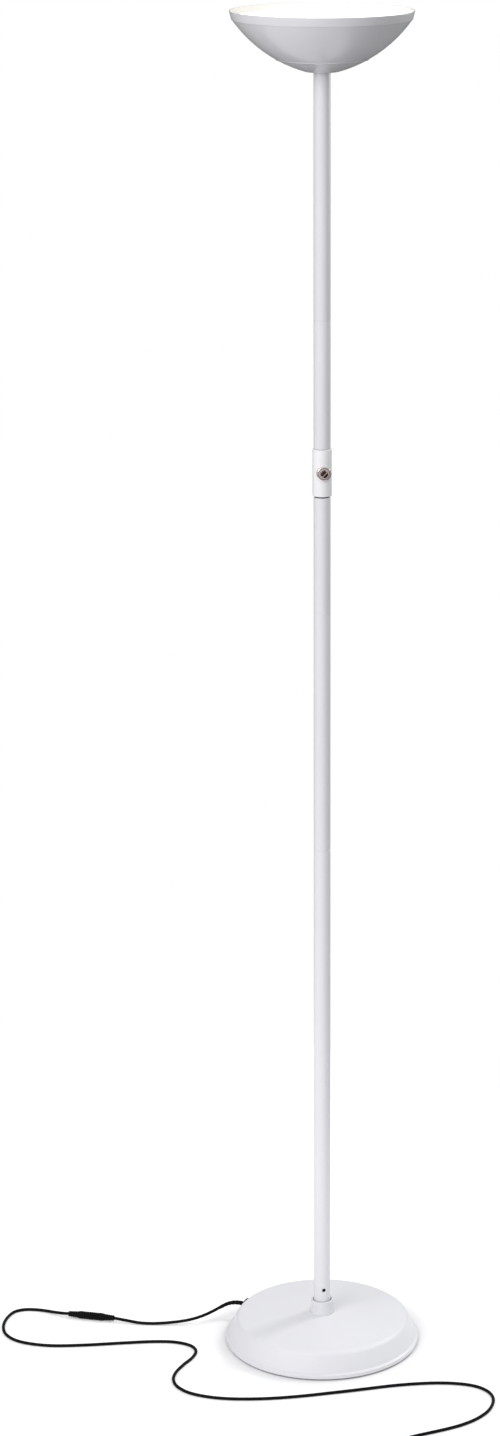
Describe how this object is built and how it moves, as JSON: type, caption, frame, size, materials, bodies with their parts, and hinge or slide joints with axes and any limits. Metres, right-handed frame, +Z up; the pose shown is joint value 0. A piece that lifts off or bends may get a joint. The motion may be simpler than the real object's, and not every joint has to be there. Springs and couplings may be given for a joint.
{
  "type": "torchiere floor lamp",
  "caption": "Tall floor lamp with a round weighted base, a slim pole with a dimmer collar, and a shallow upward-facing bowl; its lead runs to a plug-in adapter.",
  "frame": {"origin": "on the floor, on the pole's axis, at the underside of the base", "axes": "+Z up along the pole; -Y towards the front, where the dimmer knob is; +X to the right seen from the front"},
  "size_m": [0.6441, 0.5235, 1.75],
  "materials": {
    "white_paint": "smooth white powder coat",
    "collar_paint": "smooth white powder coat, a little whiter",
    "bowl_paint": "smooth satin white paint",
    "nickel": "polished nickel",
    "knob_brown": "dark brown gloss",
    "steel": "zinc plated, turned",
    "cast_weight": "as cast",
    "heat_sink_metal": "die cast",
    "black_plastic": "fine moulded texture",
    "black_rubber": "satin",
    "tie_plastic": "paper-covered wire",
    "pad_foam": "closed-cell foam",
    "white_plastic": "white",
    "chip_yellow": "phosphor",
    "diffuser_white": "opal",
    "blade_metal": "nickel-plated brass"
  },
  "bodies": {
    "stand": {"base_pad": "pad_foam", "bottom_plate": "steel", "plate_screws": "steel", "base_weight": "cast_weight", "base_cover": "white_paint", "base_stem": "steel", "stem_nut": "steel", "stem_washer": "steel", "neck_socket": "white_paint", "foot_screw": "steel", "cord_grip": "black_rubber", "tube_1": "white_paint", "tube_2": "white_paint", "tube_3": "white_paint", "tube_4": "white_paint", "tube_5": "white_paint", "tube_6": "white_paint", "joint_plug_1": "steel", "joint_plug_2": "steel", "joint_plug_3": "steel", "joint_plug_4": "steel", "joint_socket_1": "steel", "joint_socket_2": "steel", "joint_socket_3": "steel", "joint_socket_4": "steel", "neck_lower": "steel", "neck_upper": "steel", "switch_housing": "collar_paint", "dimmer_body": "black_plastic", "dimmer_bushing": "steel", "bezel_ring": "nickel", "top_plug": "white_paint", "head_nipple": "steel", "bowl_shell": "bowl_paint", "head_washer": "steel", "head_nut": "steel", "led_bracket": "steel", "carrier_posts": "steel", "heat_sink": "heat_sink_metal", "carrier_screws": "steel", "led_board": "white_plastic", "led_chips": "chip_yellow", "reflector": "white_plastic", "diffuser": "diffuser_white", "led_driver": "white_plastic", "inner_lead_lower": "black_rubber", "inner_lead_upper": "black_rubber", "lamp_lead": "black_rubber", "lead_jack": "black_rubber", "lead_plug": "black_rubber", "adapter_lead": "black_rubber", "lead_coil": "black_rubber", "coil_tie": "tie_plastic", "adapter_body": "black_plastic", "adapter_blades": "blade_metal"},
    "dimmer_knob": {"dimmer_shaft": "steel", "knob_dish": "nickel", "knob_grip": "knob_brown", "knob_pointer": "nickel"}
  },
  "joints": [
    {"name": "knob_turn", "type": "hinge", "parent": "stand", "child": "dimmer_knob", "pos_m": [0.00261, -0.01477, 1.168], "axis": [0.1736, -0.9848, 0], "range_deg": [-90, 180]}
  ]
}
